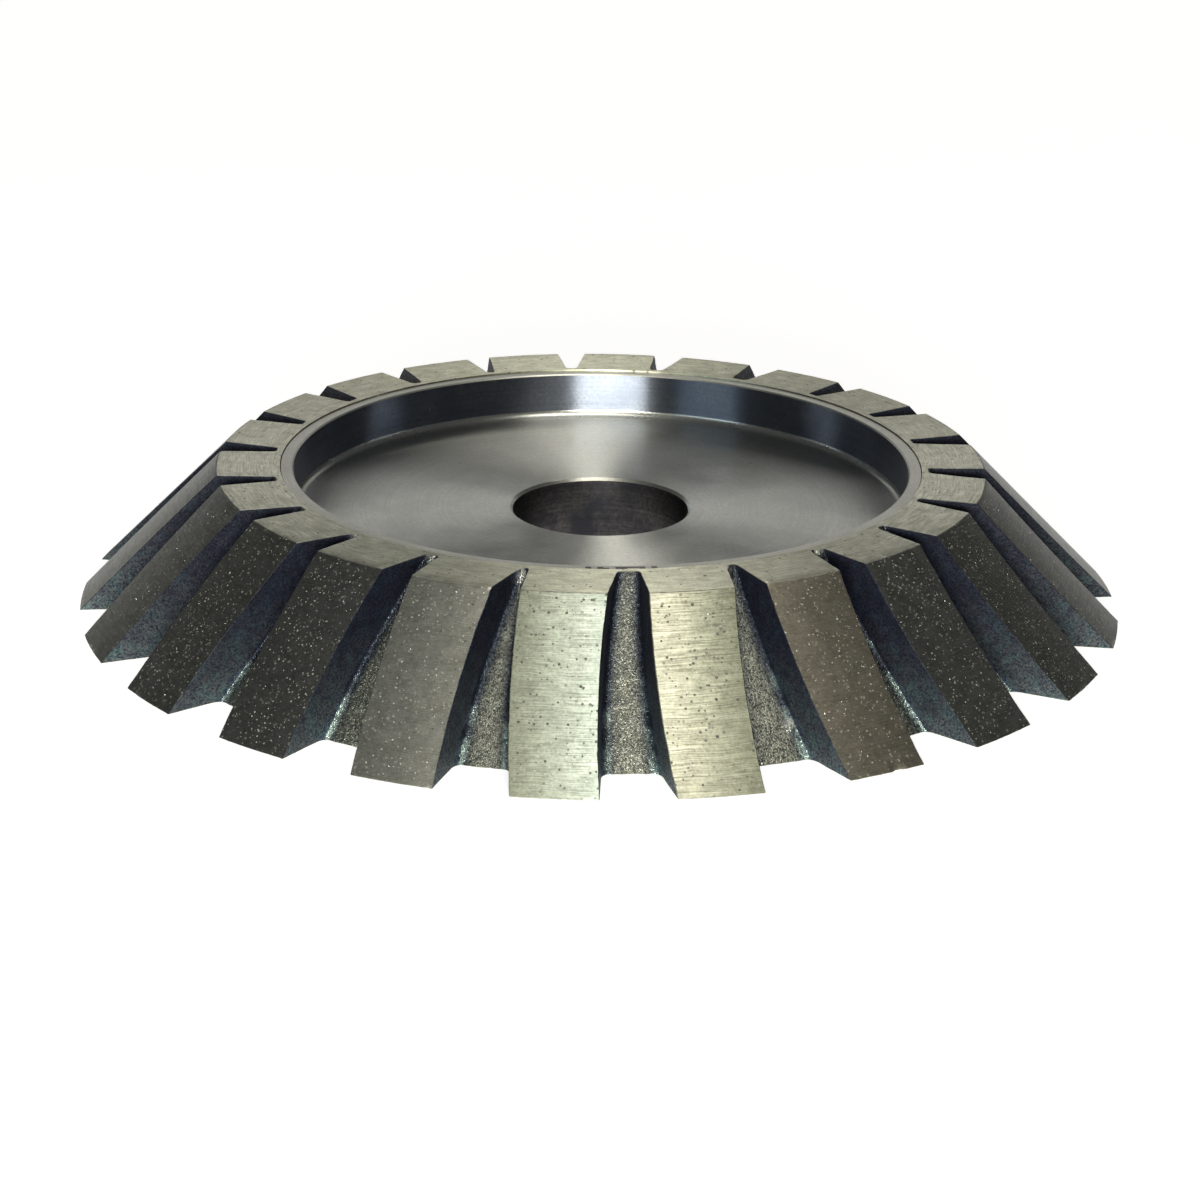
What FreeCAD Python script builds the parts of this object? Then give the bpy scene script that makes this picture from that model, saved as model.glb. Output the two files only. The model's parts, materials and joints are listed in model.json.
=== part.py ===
"""Diamond bevelling wheel: a turned steel core that carries a sintered diamond crown with block teeth.

The wheel lies on its back face, as it does when it is off the machine. Its frame has +Z along the bore and
its origin on the bore's axis, in the plane of the back face. The first tooth is centred on -Y, and teeth are
counted from there towards +X. Lengths are in millimetres and angles in degrees.
"""

import FreeCAD
import Part

import math
import os

# The wheel as a whole
outer_diameter = 150.0
wheel_height = 20.0
bevel_angle = 45.0  # between the bevel and the back face

# The steel core
bore_diameter = 25.4
bore_chamfer = 0.4  # on both mouths of the bore
web_thickness = 13.0  # from the back face to the floor of the recess
rim_width = 1.9  # the flat ring of steel between the recess and the crown
rim_setback = 0.2  # the crown stands this far above the steel ring
rim_edge_chamfer = 0.2
recess_corner_radius = 1.1

# The diamond crown
tooth_count = 22
tooth_width = 11.2  # across the ground face of a tooth
tooth_height = 5.7  # from the floor of a slot to the ground face, square to the bevel
tooth_bend_radius = 165.0  # a tooth runs down the bevel along an arc that is hollow towards the next tooth
tooth_skew = 0.8  # the arc's middle is turned by this much on the bevel, with its foot on
crown_base = 0.8  # thickness of the crown under a slot, square to the bevel
wall_draft = 1.5  # each wall of a slot leans back by this much, so that the crown leaves its mould
foot_radius = 0.6  # of the arc that two flats follow where a wall runs into the floor of its slot
root_depth = 0.4  # a tooth's block is sunk this far into the ring that it stands on
crest_spare = 1.2  # and stands this far above the bevel until it is ground off

# Teeth that came out of the mould a little out of pitch, by their count: positive towards the next tooth
tooth_drift = {0: -0.45, 1: -0.25, 2: 0.4, 7: 0.4, 8: 0.4, 9: 0.4, 10: 1.0, 11: 1.1, 12: 0.9, 14: -0.4}
# Teeth that came out with more skew than the others, or less
extra_skew = {0: 1.2, 1: -1.5, 2: 1.2, 3: -0.3, 4: 0.4, 5: 1.2, 18: -0.3, 19: -1.0, 20: 0.2}

first_tooth_direction = -90.0
axis_origin = FreeCAD.Vector(0, 0, 0)
wheel_axis = FreeCAD.Vector(0, 0, 1)

outer_radius = outer_diameter / 2
bore_radius = bore_diameter / 2
rim_level = wheel_height - rim_setback
bevel = math.radians(bevel_angle)


def cone_radius(level, depth=0.0):
    """Radius, at a height above the back face, of the cone that lies this deep under the bevel."""
    return outer_radius - level / math.tan(bevel) - depth / math.sin(bevel)


def joint_radius(level):
    """Radius of the cone on which the crown is sintered to the core."""
    return cone_radius(level, tooth_height + crown_base)


def floor_radius(level):
    """Radius of the cone that the floors of all the slots lie on."""
    return cone_radius(level, tooth_height)


def outline(points):
    """Straight edges through (radius, height) points, in the plane that a turned profile is drawn in."""
    corners = [FreeCAD.Vector(radius, 0, height) for radius, height in points]
    return [Part.LineSegment(start, end).toShape() for start, end in zip(corners, corners[1:])]


def turned(edges):
    """The solid that a closed profile sweeps round the wheel's axis."""
    face = Part.Face(Part.Wire(Part.__sortEdges__(edges)))
    return face.revolve(axis_origin, wheel_axis, 360)


def make_core():
    """The steel core: a thick web with the bore, and a rim that stands up round the recess."""
    mouth_radius = bore_radius + bore_chamfer
    recess_radius = joint_radius(rim_level) - rim_width
    corner_centre = FreeCAD.Vector(
        recess_radius - recess_corner_radius, 0, web_thickness + recess_corner_radius
    )
    corner_middle = corner_centre + FreeCAD.Vector(
        recess_corner_radius * math.cos(math.radians(45)),
        0,
        -recess_corner_radius * math.sin(math.radians(45)),
    )
    corner = Part.Arc(
        FreeCAD.Vector(corner_centre.x, 0, web_thickness),
        corner_middle,
        FreeCAD.Vector(recess_radius, 0, corner_centre.z),
    ).toShape()
    wall_and_back = outline(
        [
            (recess_radius, corner_centre.z),
            (recess_radius, rim_level - rim_edge_chamfer),
            (recess_radius + rim_edge_chamfer, rim_level),
            (joint_radius(rim_level), rim_level),
            (joint_radius(0), 0),
            (mouth_radius, 0),
            (bore_radius, bore_chamfer),
            (bore_radius, web_thickness - bore_chamfer),
            (mouth_radius, web_thickness),
            (corner_centre.x, web_thickness),
        ]
    )
    return turned(wall_and_back + [corner])


def make_crown_ring(face_radius):
    """A ring seated on the core's cone. Its outer cone has the radius that face_radius gives at a level."""
    return turned(
        outline(
            [
                (joint_radius(0), 0),
                (joint_radius(rim_level), rim_level),
                (joint_radius(rim_level), wheel_height),
                (face_radius(wheel_height), wheel_height),
                (face_radius(0), 0),
                (joint_radius(0), 0),
            ]
        )
    )


def tooth_section(place):
    """The closed section that a tooth is swept from, square to the bevel, with its feet run into the floor.

    place puts a point in space from its distance across the tooth, measured from the tooth's middle, and its
    height above the slot's floor. Seen end on, the floor bends away from the tooth on a radius that is
    smallest at the crown's top, so the feet are drawn to meet it there. A foot is two flats whose corners
    lie on an arc.
    """
    draft = math.radians(wall_draft)
    floor_bend = floor_radius(wheel_height) / math.sin(bevel)
    foot_bend = floor_bend + foot_radius
    wall_at_floor = tooth_width / 2 * math.cos(draft) + tooth_height * math.sin(draft)
    turn = math.asin((foot_radius + wall_at_floor + floor_bend * math.sin(draft)) / foot_bend) - draft

    centre = (foot_bend * math.sin(turn), foot_bend * math.cos(turn) - floor_bend)
    half_sweep = (math.pi / 2 - turn - draft) / 2

    def on_foot(angle):
        """The point of the foot's arc that lies at this angle from straight down, towards the tooth."""
        return centre[0] - foot_radius * math.sin(angle), centre[1] - foot_radius * math.cos(angle)

    def across(point):
        return -point[0], point[1]

    toe = on_foot(turn)
    instep = on_foot(turn + half_sweep)
    ankle = on_foot(turn + 2 * half_sweep)
    crest = (tooth_width / 2 - crest_spare * math.tan(draft), tooth_height + crest_spare)
    root = (toe[0], toe[1] - root_depth)

    right_side = [root, toe, instep, ankle, crest]
    left_side = [across(corner) for corner in reversed(right_side)]
    corners = right_side + left_side + [root]
    straights = zip(corners, corners[1:])
    edges = [Part.LineSegment(place(*start), place(*end)).toShape() for start, end in straights]
    return Part.Face(Part.Wire(Part.__sortEdges__(edges)))


def make_tooth(count, envelope):
    """One tooth: its section swept down the bevel along an arc, turned by its skew, and trimmed all over."""
    square_up = FreeCAD.Vector(math.sin(bevel), 0, math.cos(bevel))
    middle = FreeCAD.Vector(cone_radius(wheel_height / 2), 0, wheel_height / 2)
    bend_centre = middle + FreeCAD.Vector(0, tooth_bend_radius, 0)
    half_length = wheel_height / 2 / math.sin(bevel) + 2 * tooth_height / math.tan(bevel)
    half_sweep = math.degrees(half_length / tooth_bend_radius)

    def place(aside, height):
        return middle + FreeCAD.Vector(0, aside, 0) + square_up * (height - tooth_height)

    section = tooth_section(place)
    section.rotate(bend_centre, square_up, -half_sweep)
    block = section.revolve(bend_centre, square_up, 2 * half_sweep)
    block.rotate(middle, square_up, tooth_skew + extra_skew.get(count, 0))
    tooth = block.common(envelope)
    direction = first_tooth_direction + count * 360 / tooth_count + tooth_drift.get(count, 0)
    tooth.rotate(axis_origin, wheel_axis, direction)
    return tooth


def make_crown():
    """The diamond crown: a thin conical ring with a tooth at every pitch."""
    envelope = make_crown_ring(cone_radius)
    teeth = [make_tooth(count, envelope) for count in range(tooth_count)]
    return make_crown_ring(floor_radius).fuse(teeth).removeSplitter()


os.makedirs("parts", exist_ok=True)
make_core().exportStep("parts/steel_core.step")
make_crown().exportStep("parts/diamond_crown.step")
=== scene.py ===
"""Diamond bevelling wheel, dressed: a turned steel core and a sintered crown of 22 ground teeth.

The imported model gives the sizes. The wheel is worked out in millimetres in its own frame: +Z along the bore,
the first tooth on -Y, and the other teeth counted from it towards +X. A mesh is brought to metres when it is
made. The studio round the wheel is in metres. Angles round the wheel are in degrees from the first tooth.
"""

from __future__ import annotations

import json
import logging
import math
import random
from dataclasses import dataclass, field, replace
from enum import Enum
from typing import Any, Mapping, Sequence

import bpy
from mathutils import Euler, Matrix, Vector, noise

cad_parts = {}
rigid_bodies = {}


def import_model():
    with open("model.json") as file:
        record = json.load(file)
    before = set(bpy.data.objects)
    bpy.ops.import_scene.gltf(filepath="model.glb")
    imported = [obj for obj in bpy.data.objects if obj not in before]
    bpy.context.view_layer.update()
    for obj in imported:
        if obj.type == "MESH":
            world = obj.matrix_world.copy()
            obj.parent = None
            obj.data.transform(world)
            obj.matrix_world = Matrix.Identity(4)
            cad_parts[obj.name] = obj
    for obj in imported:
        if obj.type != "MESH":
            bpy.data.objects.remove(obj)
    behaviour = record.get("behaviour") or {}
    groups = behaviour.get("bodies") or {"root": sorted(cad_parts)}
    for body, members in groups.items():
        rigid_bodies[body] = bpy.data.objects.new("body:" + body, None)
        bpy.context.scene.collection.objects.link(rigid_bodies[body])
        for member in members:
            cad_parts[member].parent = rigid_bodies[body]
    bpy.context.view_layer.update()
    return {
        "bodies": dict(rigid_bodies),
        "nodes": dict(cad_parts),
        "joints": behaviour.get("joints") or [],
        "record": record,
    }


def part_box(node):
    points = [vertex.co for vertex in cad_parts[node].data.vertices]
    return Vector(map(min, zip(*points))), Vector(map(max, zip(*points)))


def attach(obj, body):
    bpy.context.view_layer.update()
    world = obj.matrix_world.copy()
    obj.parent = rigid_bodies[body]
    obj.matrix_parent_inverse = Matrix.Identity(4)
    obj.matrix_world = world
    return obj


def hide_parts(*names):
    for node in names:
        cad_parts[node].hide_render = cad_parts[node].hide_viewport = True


Socket = bpy.types.NodeSocket
Colour = tuple[float, float, float]
Place = tuple[float, float, float]
Span = tuple[float, float]

LOG = logging.getLogger("bevelling_wheel")
MM = 0.001
BODY = "root"
# The cast tints carry painted light: painted shade on the teeth turned from the lamps, in the slots' corners
# and on the walls' tops, and painted highlights on the feet, the walls' lower ends and the front teeth's
# edges.
CAST = "cast"  # the colour attribute that tints the crown from tooth to tooth and darkens its corners
PLAIN: Colour = (1.0, 1.0, 1.0)
UNIT: Span = (0.0, 1.0)
NOISE_SPAN: Span = (0.3, 0.7)  # holds nearly all the values of a smooth noise
LINE_SPAN: Span = (0.35, 0.65)  # a little narrower, so that fine lines stand out more


class Zone(Enum):
    """The kinds of surface that the wheel shows."""

    GROUND_BEVEL = "ground_bevel"
    LAPPED_LAND = "lapped_land"
    WORN_EDGE = "worn_edge"
    PRESSED_WALL = "pressed_wall"
    PRESSED_FLOOR = "pressed_floor"
    TURNED_WEB = "turned_web"
    POLISHED_WALL = "polished_wall"
    FILLET = "fillet"
    RIM = "rim"
    BORE = "bore"
    BACK_FACE = "back_face"
    GRIT = "grit"


CORE_ZONES = (Zone.BORE, Zone.RIM, Zone.TURNED_WEB, Zone.FILLET, Zone.POLISHED_WALL, Zone.BACK_FACE)
CROWN_ZONES = (Zone.GROUND_BEVEL, Zone.LAPPED_LAND, Zone.WORN_EDGE, Zone.PRESSED_WALL, Zone.PRESSED_FLOOR)


@dataclass(frozen=True)
class WheelSizes:
    """The sizes that the core and the crown share, in millimetres, with the bevel in degrees."""

    outer_radius: float
    height: float
    rim_level: float
    seat_radius: float
    bore_radius: float
    bore_length: float
    web: float
    bevel: float = 45.0
    tooth_height: float = 5.7
    tooth_count: int = 22

    @classmethod
    def from_frame(cls, frame: Mapping[str, Any]) -> WheelSizes:
        """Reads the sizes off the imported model.


        Returns:
            The sizes in millimetres.
        """
        mounts = {mount["name"]: mount for mount in frame["record"]["mounts"]}
        crown_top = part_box("diamond_crown")[1]
        core_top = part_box("steel_core")[1]
        return cls(
            outer_radius=crown_top[1] / MM,
            height=crown_top[2] / MM,
            rim_level=core_top[2] / MM,
            seat_radius=core_top[0] / MM,
            bore_radius=mounts["arbor_bore"]["dims"]["r_mm"],
            bore_length=mounts["arbor_bore"]["dims"]["length_mm"],
            web=mounts["clamp_face"]["pos_m"][2] / MM,
        )

    @property
    def run(self) -> float:
        """Radius lost for each millimetre of height on the bevel."""
        return 1 / math.tan(math.radians(self.bevel))

    @property
    def reach(self) -> float:
        """Radius gained for each millimetre of height square to the bevel."""
        return 1 / math.sin(math.radians(self.bevel))

    @property
    def pitch(self) -> float:
        """Angle from one tooth to the next, in degrees."""
        return 360 / self.tooth_count

    def bevel_radius(self, level: float) -> float:
        """Radius of the ground bevel at a height above the back face."""
        return self.outer_radius - level * self.run

    def floor_radius(self, level: float) -> float:
        """Radius of the cone that the slots' floors lie on, at a height above the back face."""
        return self.bevel_radius(level) - self.tooth_height * self.reach

    def joint_radius(self, level: float) -> float:
        """Radius of the cone between core and crown, at a height above the back face."""
        return self.seat_radius - level * self.run

    def around(self, degrees: float, radius: float, level: float) -> Vector:
        """The point at this angle from the first tooth, this radius and this height."""
        angle = math.radians(degrees)
        return Vector((radius * math.sin(angle), -radius * math.cos(angle), level))


class Shader:
    """A material under construction: one principled shader and the nodes that feed it."""

    noise_roughness = 0.55
    waver_scale = 0.16

    def __init__(self, name: str) -> None:
        """Starts a material with only a principled shader.

        Args:
            name: The material's name.
        """
        self.material = bpy.data.materials.new(name)
        self.material.use_nodes = True
        self.tree = self.material.node_tree
        self.tree.nodes.clear()
        output = self.tree.nodes.new("ShaderNodeOutputMaterial")
        self.surface = self.tree.nodes.new("ShaderNodeBsdfPrincipled")
        self.join(self.surface.outputs["BSDF"], output.inputs["Surface"])

    def join(self, source: Socket, target: Socket) -> None:
        """Links one socket to another."""
        self.tree.links.new(source, target)

    def add(self, kind: str, inputs: Mapping[Any, Any] | None = None, **settings: Any) -> bpy.types.Node:
        """Adds a node.

        Args:
            kind: The node's type, without the ShaderNode at its front.
            inputs: Socket name or number to a value, or to the socket that feeds it.
            settings: Attributes of the node itself.

        Returns:
            The new node.
        """
        node = self.tree.nodes.new("ShaderNode" + kind)
        for name, value in settings.items():
            setattr(node, name, value)
        for name, value in (inputs or {}).items():
            if isinstance(value, Socket):
                self.join(value, node.inputs[name])
            else:
                node.inputs[name].default_value = value
        return node

    def maths(self, operation: str, *values: Any) -> Socket:
        """The result of one arithmetic step on numbers or sockets."""
        return self.add("Math", dict(enumerate(values)), operation=operation).outputs[0]

    def weighed(self, first: Socket, second: Socket, share: float) -> Socket:
        """The sum of two values of which the first has this share and the second the rest."""
        rest = self.maths("MULTIPLY", second, 1 - share)
        return self.maths("ADD", self.maths("MULTIPLY", first, share), rest)

    def mapped(self, value: Socket, span: Span, onto: Span = UNIT) -> Socket:
        """A value taken from one span to another, held at both ends."""
        inputs = dict(enumerate((value, *span, *onto)))
        return self.add("MapRange", inputs).outputs[0]

    def scaled(self, vector: Socket, factor: Any) -> Socket:
        """A vector or a colour multiplied by a number or a socket."""
        return self.add("VectorMath", {0: vector, "Scale": factor}, operation="SCALE").outputs["Vector"]

    def tinted(self, colour: Socket, tint: Socket) -> Socket:
        """A colour multiplied by another."""
        return self.add("VectorMath", {0: colour, 1: tint}, operation="MULTIPLY").outputs["Vector"]

    def place(self) -> Socket:
        """The point being shaded, in millimetres, in the wheel's frame."""
        return self.scaled(self.add("TexCoord").outputs["Object"], 1 / MM)

    def lathe_place(self, along: float, across: float, radius: float = 60.0, waver: float = 0.0) -> Socket:
        """A point for a texture whose grain runs round the wheel, with no seam in it.

        Args:
            along: Length of the grain round the wheel, in millimetres.
            across: Width of the grain, in millimetres.
            radius: Radius at which the length is true, in millimetres.
            waver: How far the grain strays from its circle, in millimetres.

        Returns:
            The vector to feed to a texture with a scale of one.
        """
        split = self.add("SeparateXYZ", {0: self.place()})
        flat = self.add("CombineXYZ", {0: split.outputs[0], 1: split.outputs[1]}).outputs[0]
        distance = self.add("VectorMath", {0: flat}, operation="LENGTH").outputs["Value"]
        heading = self.add("VectorMath", {0: flat}, operation="NORMALIZE").outputs["Vector"]
        over = self.maths("SUBTRACT", distance, split.outputs[2])
        if waver:
            stray = self.noise(self.place(), self.waver_scale)
            over = self.maths("ADD", over, self.maths("MULTIPLY", stray, 2 * waver))
        turned = self.scaled(heading, radius / along)
        lifted = self.add("CombineXYZ", {2: self.maths("DIVIDE", over, across)}).outputs[0]
        return self.add("VectorMath", {0: turned, 1: lifted}, operation="ADD").outputs["Vector"]

    def painted(self, name: str) -> Socket:
        """A colour that the mesh carries under this name."""
        return self.add("Attribute", attribute_name=name).outputs["Color"]

    def noise(self, vector: Socket, scale: float, detail: float = 2.0) -> Socket:
        """Smooth noise between nought and one."""
        inputs = {"Vector": vector, "Scale": scale, "Detail": detail, "Roughness": self.noise_roughness}
        return self.add("TexNoise", inputs).outputs["Fac"]

    def blend(self, share: Socket, first: Any, second: Any) -> Socket:
        """Blends two colours.

        Args:
            share: How much there is of the second colour, from nought to one.
            first: A colour, or the socket that gives it.
            second: The other, given the same way.

        Returns:
            The socket with the blended colour.
        """
        node = self.add("Mix", {"Factor": share}, data_type="RGBA")
        for name, value in (("A", first), ("B", second)):
            socket = next(each for each in node.inputs if each.name == name and each.type == "RGBA")
            if isinstance(value, Socket):
                self.join(value, socket)
            else:
                socket.default_value = (*value, 1.0)
        return next(each for each in node.outputs if each.type == "RGBA")

    def specks(self, spacing: float, size: float, share: Any) -> Socket:
        """Scattered round specks of uneven strength: up to one inside a speck and nought outside.

        Args:
            spacing: Distance between the cells that may hold a speck, in millimetres.
            size: Largest radius of a speck, in millimetres.
            share: Share of the cells that hold one, as a number or a socket.

        Returns:
            The socket with the specks.
        """
        smallest = 0.45
        faintest = 0.35
        cells = self.add("TexVoronoi", {"Vector": self.place(), "Scale": 1 / spacing})
        lot = self.add("SeparateColor", {0: cells.outputs["Color"]})
        reach = self.maths("MULTIPLY", self.mapped(lot.outputs[1], UNIT, (smallest, 1.0)), size / spacing)
        inside = self.maths("LESS_THAN", cells.outputs["Distance"], reach)
        chosen = self.maths("LESS_THAN", lot.outputs[0], share)
        strength = self.mapped(lot.outputs[2], UNIT, (faintest, 1.0))
        return self.maths("MULTIPLY", self.maths("MULTIPLY", inside, chosen), strength)

    def relief(self, height: Socket, depth: float, before: Socket | None = None) -> Socket:
        """A normal bent by a height map.

        Args:
            height: The height, between nought and one.
            depth: What one stands for, in millimetres.
            before: The normal of a relief under this one, if there is one.

        Returns:
            The bent normal.
        """
        inputs: dict[Any, Any] = {"Height": height, "Distance": depth * MM, "Strength": 1.0}
        if before is not None:
            inputs["Normal"] = before
        return self.add("Bump", inputs).outputs["Normal"]

    def set(self, **values: Any) -> None:
        """Sets or feeds sockets of the principled shader.

        Args:
            values: Socket name, with underscores for spaces, to a number, a colour or a socket.
        """
        for name, value in values.items():
            socket = self.surface.inputs[name.replace("_", " ").title().replace("Ior", "IOR")]
            if isinstance(value, Socket):
                self.join(value, socket)
            elif isinstance(value, tuple):
                socket.default_value = (*value, 1.0)
            else:
                socket.default_value = value

    def brush_round(self, strength: float) -> None:
        """Stretches the gloss as a tool that went round the wheel does.

        Args:
            strength: From nought, even in all directions, to one.
        """
        tangent = self.add("Tangent", direction_type="RADIAL", axis="Z").outputs["Tangent"]
        self.set(Anisotropic=strength, Anisotropic_Rotation=0.25, Tangent=tangent)


@dataclass(frozen=True)
class GroundBond:
    """Sintered bond after grinding: lines round the wheel, bared grit, and pits where grit fell out.

    Lengths, widths, sizes and depths are in millimetres, and a scale is a noise's waves for each millimetre.
    """

    name: str
    light: Colour
    dark: Colour
    roughness: float
    line_length: float
    line_width: float
    gloss_stretch: float
    pit_share: float
    grit_share: float
    line_waver: float = 0.5
    line_weight: float = 0.68
    line_gloss: float = 0.05
    line_depth: float = 0.014
    grain_scale: float = 2.4
    tone_span: Span = (0.37, 0.63)
    cloud_scale: float = 0.5
    cloud_strength: Span = (0.82, 1.16)
    grit_spacing: float = 0.5
    grit_size: float = 0.14
    grit_colour: Colour = (0.42, 0.41, 0.37)
    grit_dullness: float = 0.7
    crowd_scale: float = 0.35
    crowd_span: Span = (0.4, 0.65)
    crowd_strength: Span = (0.35, 1.7)
    pit_spacing: float = 0.72
    pit_size: float = 0.22
    pit_depth: float = 0.04
    pit_colour: Colour = (0.06, 0.058, 0.048)

    def build(self) -> bpy.types.Material:
        """Makes the material.

        Returns:
            The material.
        """
        shader = Shader(self.name)
        place = shader.place()
        lines = shader.lathe_place(self.line_length, self.line_width, waver=self.line_waver)
        lines = shader.noise(lines, 1.0, 3.0)
        grain = shader.noise(place, self.grain_scale, 3.0)
        tone = shader.mapped(shader.weighed(lines, grain, self.line_weight), self.tone_span)
        colour = shader.tinted(shader.blend(tone, self.dark, self.light), shader.painted(CAST))
        cloud = shader.noise(place, self.cloud_scale, 3.0)
        colour = shader.scaled(colour, shader.mapped(cloud, NOISE_SPAN, self.cloud_strength))

        grit = shader.specks(self.grit_spacing, self.grit_size, self.grit_share)
        colour = shader.blend(grit, colour, self.grit_colour)
        crowd = shader.noise(place, self.crowd_scale, 1.0)
        crowd = shader.mapped(crowd, self.crowd_span, self.crowd_strength)
        pit_share = shader.maths("MULTIPLY", crowd, self.pit_share)
        pits = shader.specks(self.pit_spacing, self.pit_size, pit_share)

        gloss = shader.mapped(lines, LINE_SPAN, (self.line_gloss, -self.line_gloss))
        dull = shader.maths("MAXIMUM", shader.maths("MULTIPLY", grit, self.grit_dullness), pits)
        grooves = shader.relief(lines, self.line_depth)
        shader.set(
            Base_Color=shader.blend(pits, colour, self.pit_colour),
            Metallic=shader.maths("SUBTRACT", 1.0, dull),
            Roughness=shader.maths("ADD", gloss, self.roughness),
            Normal=shader.relief(shader.maths("SUBTRACT", 1.0, pits), self.pit_depth, grooves),
        )
        shader.brush_round(self.gloss_stretch)
        return shader.material


@dataclass(frozen=True)
class PressedBond:
    """Sintered bond as it leaves the mould: grains of metal and grit, dark between them, with painted shade by
    the walls from the mesh's tint.

    Sizes and depths are in millimetres, and a scale is a noise's waves for each millimetre.
    """

    name: str
    grain_colour: Colour
    gap_colour: Colour
    grain_depth: float
    roughness: float
    metallic: float
    sheen: float
    bloom: Colour
    grain_size: float = 0.2
    mound_reach: float = 0.7
    lowest_mound: float = 0.35
    gloss_spread: float = 0.1
    fine_scale: float = 1.6
    cloud_scale: float = 0.5
    cloud_strength: Span = (0.55, 1.0)
    bloom_scale: float = 0.55
    bloom_span: Span = (0.45, 0.7)

    def build(self) -> bpy.types.Material:
        """Makes the material.

        Returns:
            The material.
        """
        shader = Shader(self.name)
        place = shader.place()
        grains = shader.add("TexVoronoi", {"Vector": place, "Scale": 1 / self.grain_size}, feature="F1")
        lot = shader.add("SeparateColor", {0: grains.outputs["Color"]}).outputs[0]
        cloud = shader.mapped(shader.noise(place, self.cloud_scale, 3.0), NOISE_SPAN, self.cloud_strength)
        colour = shader.blend(shader.maths("MULTIPLY", lot, cloud), self.gap_colour, self.grain_colour)
        patches = shader.mapped(shader.noise(place, self.bloom_scale, 4.0), self.bloom_span)
        colour = shader.tinted(colour, shader.blend(patches, PLAIN, self.bloom))

        mound = shader.mapped(grains.outputs["Distance"], (0.0, self.mound_reach), (1.0, 0.0))
        height = shader.maths("MULTIPLY", mound, shader.mapped(lot, UNIT, (self.lowest_mound, 1.0)))
        under = shader.relief(shader.noise(place, self.fine_scale, 3.0), self.grain_depth)
        dull_to_bright = (self.roughness + self.gloss_spread, self.roughness - self.gloss_spread)
        shader.set(
            Base_Color=shader.tinted(colour, shader.painted(CAST)),
            Metallic=self.metallic,
            Specular_Ior_Level=self.sheen,
            Roughness=shader.mapped(lot, UNIT, dull_to_bright),
            Normal=shader.relief(height, self.grain_depth, under),
        )
        return shader.material


@dataclass(frozen=True)
class TurnedSteel:
    """Bare steel off the lathe: fine rings, a stretched gloss and a few specks.

    Lengths, widths, sizes and depths are in millimetres, and a scale is a noise's waves for each millimetre.
    """

    name: str
    light: Colour
    dark: Colour
    roughness: float
    ring_width: float
    ring_depth: float
    gloss_stretch: float
    speck_share: float
    mottle: float
    ring_length: float = 240.0
    ring_radius: float = 30.0
    ring_weight: float = 0.5
    grain_scale: float = 2.2
    cloud_scale: float = 0.16
    cloud_span: Span = (0.42, 0.6)
    brighter: float = 0.03
    duller: float = 0.04
    speck_spacing: float = 2.6
    speck_size: float = 0.16
    speck_colour: Colour = (0.05, 0.045, 0.04)

    def build(self) -> bpy.types.Material:
        """Makes the material.

        Returns:
            The material.
        """
        shader = Shader(self.name)
        place = shader.place()
        rings = shader.lathe_place(self.ring_length, self.ring_width, self.ring_radius)
        rings = shader.noise(rings, 1.0, 3.0)
        cloud = shader.noise(place, self.cloud_scale, 4.0)
        grain = shader.noise(place, self.grain_scale)
        tone = shader.mapped(shader.weighed(rings, grain, self.ring_weight), LINE_SPAN)
        colour = shader.blend(tone, self.dark, self.light)
        mottle = shader.mapped(cloud, self.cloud_span, (0.0, self.mottle))
        colour = shader.blend(mottle, colour, self.dark)
        specks = shader.specks(self.speck_spacing, self.speck_size, self.speck_share)
        bright_to_dull = (self.roughness - self.brighter, self.roughness + self.duller)
        shader.set(
            Base_Color=shader.blend(specks, colour, self.speck_colour),
            Metallic=1.0,
            Roughness=shader.mapped(cloud, NOISE_SPAN, bright_to_dull),
            Normal=shader.relief(rings, self.ring_depth),
        )
        shader.brush_round(self.gloss_stretch)
        return shader.material


@dataclass(frozen=True)
class Crystal:
    """Diamond grit that stands in the bond: hard bright facets, a little clouded."""

    name: str
    light: Colour
    dark: Colour
    roughness: float
    refraction: float = 2.42
    tone_scale: float = 1.1
    tone_span: Span = (0.45, 0.7)
    scratch_scale: float = 9.0
    scratch_dulling: float = 0.1

    def build(self) -> bpy.types.Material:
        """Makes the material.

        Returns:
            The material.
        """
        shader = Shader(self.name)
        place = shader.place()
        tone = shader.mapped(shader.noise(place, self.tone_scale, 1.0), self.tone_span)
        scratches = shader.noise(place, self.scratch_scale)
        bright_to_dull = (self.roughness, self.roughness + self.scratch_dulling)
        shader.set(
            Base_Color=shader.blend(tone, self.dark, self.light),
            Ior=self.refraction,
            Roughness=shader.mapped(scratches, NOISE_SPAN, bright_to_dull),
        )
        return shader.material


@dataclass(frozen=True)
class Backing:
    """The pale floor under the wheel: it shows white and still takes the wheel's shadow.

    Its glow grows with the distance from the wheel, given in millimetres, as the lamps' light gives out.
    """

    name: str = "pale_floor"
    colour: Colour = (0.60, 0.60, 0.60)
    roughness: float = 0.9
    glow: Span = (0.70, 0.97)
    distance: Span = (300.0, 2500.0)

    def build(self) -> bpy.types.Material:
        """Makes the material.

        Returns:
            The material.
        """
        shader = Shader(self.name)
        rays = shader.add("LightPath").outputs
        seen = shader.maths("MAXIMUM", rays["Is Camera Ray"], rays["Is Glossy Ray"])
        seen = shader.maths("MAXIMUM", seen, rays["Is Transmission Ray"])
        away = shader.add("VectorMath", {0: shader.place()}, operation="LENGTH").outputs["Value"]
        glow = shader.mapped(away, self.distance, self.glow)
        shader.set(
            Base_Color=self.colour,
            Roughness=self.roughness,
            Emission_Color=PLAIN,
            Emission_Strength=shader.maths("MULTIPLY", seen, glow),
        )
        return shader.material


Finish = GroundBond | PressedBond | TurnedSteel | Crystal

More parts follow.
